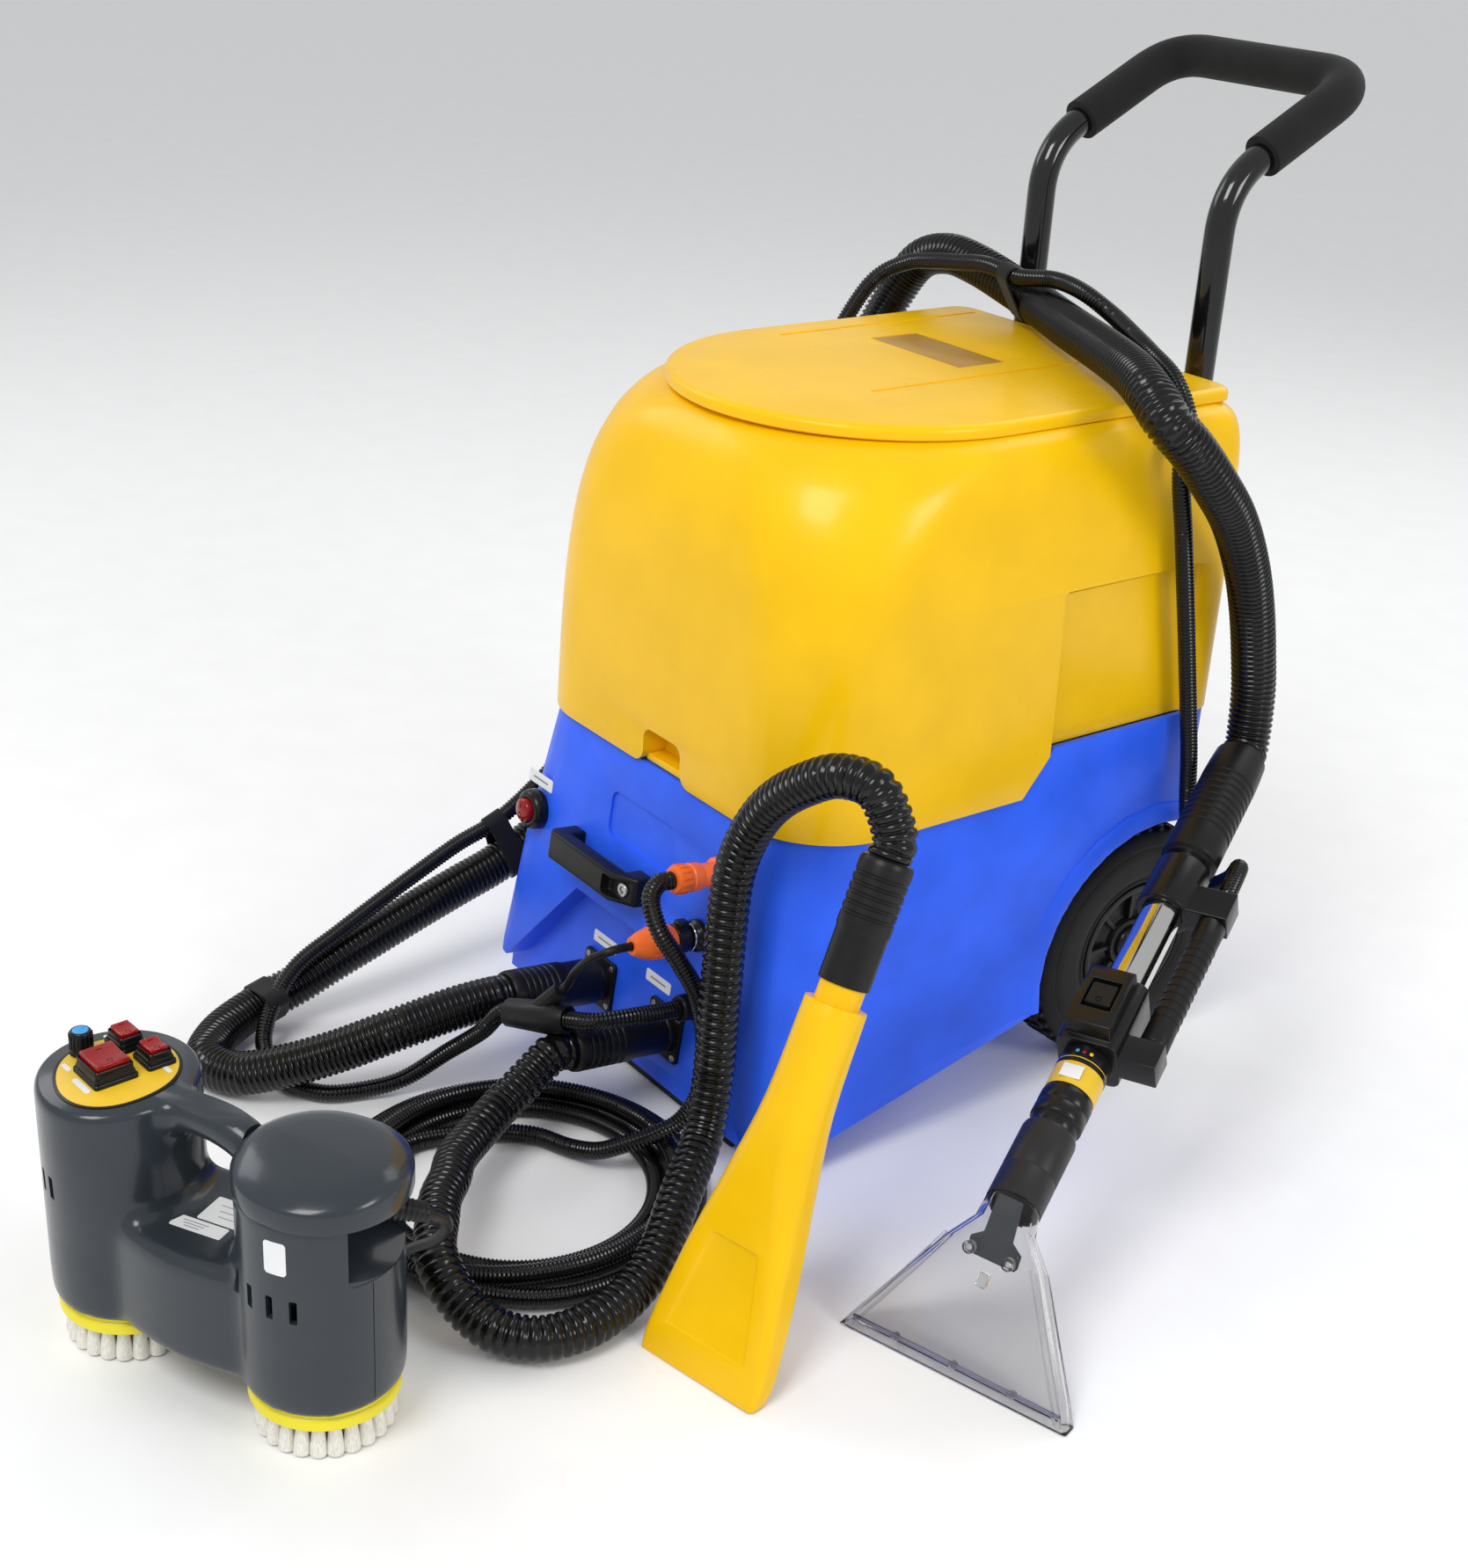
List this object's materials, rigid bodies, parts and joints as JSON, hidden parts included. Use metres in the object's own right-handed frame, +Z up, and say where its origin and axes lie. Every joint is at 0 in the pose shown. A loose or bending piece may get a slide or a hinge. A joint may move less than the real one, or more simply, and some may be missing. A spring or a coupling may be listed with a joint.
{
  "type": "carpet and upholstery cleaner",
  "caption": "Wheeled carpet cleaner: blue base, yellow recovery tank, push handle, extraction wand, air nozzle and powered hand brush on corrugated hoses.",
  "frame": {"origin": "middle of the underside of the rubber foot under the front edge of the base, on the floor", "axes": "+Z up; the front panel with the hose sockets faces -Y; the wheels and the push handle are towards +Y; +X is to the left of someone facing the front panel"},
  "size_m": [0.897, 1.3327, 0.9487],
  "materials": {
    "blue_plastic": "satin moulded blue",
    "black_rubber": "matt",
    "tyre": "matt treaded",
    "black_plastic": "semi-gloss",
    "steel": "plain",
    "white_plastic": "natural moulded",
    "yellow_plastic": "smooth moulded yellow",
    "orange_plastic": "smooth",
    "black_steel": "gloss black",
    "foam": "closed-cell foam",
    "red_plastic": "translucent red",
    "chrome": "polished",
    "dark_sleeve": "satin",
    "clear_plastic": "clear",
    "grey_plastic": "smooth blue-grey",
    "brush_yellow": "yellow ring with pale bristles",
    "hose_black": "corrugated"
  },
  "bodies": {
    "machine": {"air_cuff": "black_plastic", "air_nozzle": "yellow_plastic", "axle": "steel", "base_housing": "blue_plastic", "brush_body": "grey_plastic", "brush_cap": "grey_plastic", "brush_conduit": "hose_black", "brush_coupler": "orange_plastic", "brush_lead": "hose_black", "conduit_branch": "dark_sleeve", "conduit_coil": "hose_black", "coupler_nut": "orange_plastic", "drying_blower": "black_plastic", "drying_cuff": "black_plastic", "drying_hose": "hose_black", "drying_socket": "black_plastic", "equipment_deck": "steel", "float_cage": "black_plastic", "floor_nozzle": "clear_plastic", "front_foot": "black_rubber", "handle_grip": "foam", "left_brush_motor": "steel", "nozzle_sleeve": "dark_sleeve", "pull_handle": "black_plastic", "push_handle": "black_steel", "recovery_tank": "yellow_plastic", "right_brush_motor": "steel", "solution_coupler": "black_plastic", "solution_pump": "steel", "solution_tank": "white_plastic", "solution_tube": "hose_black", "suction_cuff": "black_plastic", "suction_hose": "hose_black", "suction_riser": "black_plastic", "suction_socket": "black_plastic", "switch_bezel": "black_plastic", "tank_lid": "yellow_plastic", "vacuum_motor": "steel", "wand_clamp": "black_plastic", "wand_collar": "black_plastic", "wand_conduit": "hose_black", "wand_cuff": "black_plastic", "wand_grip": "black_plastic", "wand_power_socket": "black_plastic", "wand_switch_box": "black_plastic", "wand_tube": "chrome"},
    "left_wheel": {"left_tyre": "tyre", "left_rim": "black_plastic"},
    "right_wheel": {"right_tyre": "tyre", "right_rim": "black_plastic"},
    "fan": {"vacuum_fan": "steel"},
    "float": {"float_ball": "orange_plastic"},
    "button": {"power_button": "red_plastic"},
    "wand_switch": {"wand_rocker": "black_plastic"},
    "main_switch": {"main_rocker": "red_plastic"},
    "brush_switch": {"brush_rocker": "red_plastic"},
    "spray_switch": {"spray_rocker": "red_plastic"},
    "knob": {"speed_knob": "black_plastic"},
    "left_brush": {"left_brush_head": "brush_yellow"},
    "right_brush": {"right_brush_head": "brush_yellow"}
  },
  "joints": [
    {"name": "left_wheel_roll", "type": "hinge", "parent": "machine", "child": "left_wheel", "pos_m": [-0.19, 0.418, 0.124], "axis": [1, 0, 0], "continuous": true},
    {"name": "right_wheel_roll", "type": "hinge", "parent": "machine", "child": "right_wheel", "pos_m": [0.19, 0.418, 0.124], "axis": [1, 0, 0], "continuous": true},
    {"name": "fan_spin", "type": "hinge", "parent": "machine", "child": "fan", "pos_m": [-0.096, 0.15, 0.1304], "axis": [0, 0, 1], "continuous": true},
    {"name": "float_rise", "type": "slide", "parent": "machine", "child": "float", "axis": [0, 0, 1], "range_m": [0, 0.035]},
    {"name": "power_press", "type": "slide", "parent": "machine", "child": "button", "axis": [0, 0.9925, -0.1219], "range_m": [0, 0.003], "stiffness_N_per_m": 600},
    {"name": "wand_rocker_tip", "type": "hinge", "parent": "machine", "child": "wand_switch", "pos_m": [0.41652, 0.15483, 0.24222], "axis": [0.9152, 0.4001, 0.048], "range_deg": [-10, 10]},
    {"name": "main_rocker_tip", "type": "hinge", "parent": "machine", "child": "main_switch", "pos_m": [0.09242, -0.5815, 0.2489], "axis": [-0.0906, 0.9959, 0], "range_deg": [-8, 8]},
    {"name": "brush_rocker_tip", "type": "hinge", "parent": "machine", "child": "brush_switch", "pos_m": [0.06051, -0.55275, 0.2479], "axis": [-0.0906, 0.9959, 0], "range_deg": [-8, 8]},
    {"name": "spray_rocker_tip", "type": "hinge", "parent": "machine", "child": "spray_switch", "pos_m": [0.09334, -0.54303, 0.2479], "axis": [-0.0906, 0.9959, 0], "range_deg": [-8, 8]},
    {"name": "speed_turn", "type": "hinge", "parent": "machine", "child": "knob", "pos_m": [0.055, -0.58558, 0.24], "axis": [0, 0, 1], "range_deg": [0, 270]},
    {"name": "left_brush_spin", "type": "hinge", "parent": "machine", "child": "left_brush", "pos_m": [0.08992, -0.57061, 0.03], "axis": [0, 0, 1], "continuous": true},
    {"name": "right_brush_spin", "type": "hinge", "parent": "machine", "child": "right_brush", "pos_m": [0.27008, -0.49339, 0.03], "axis": [0, 0, 1], "continuous": true}
  ]
}
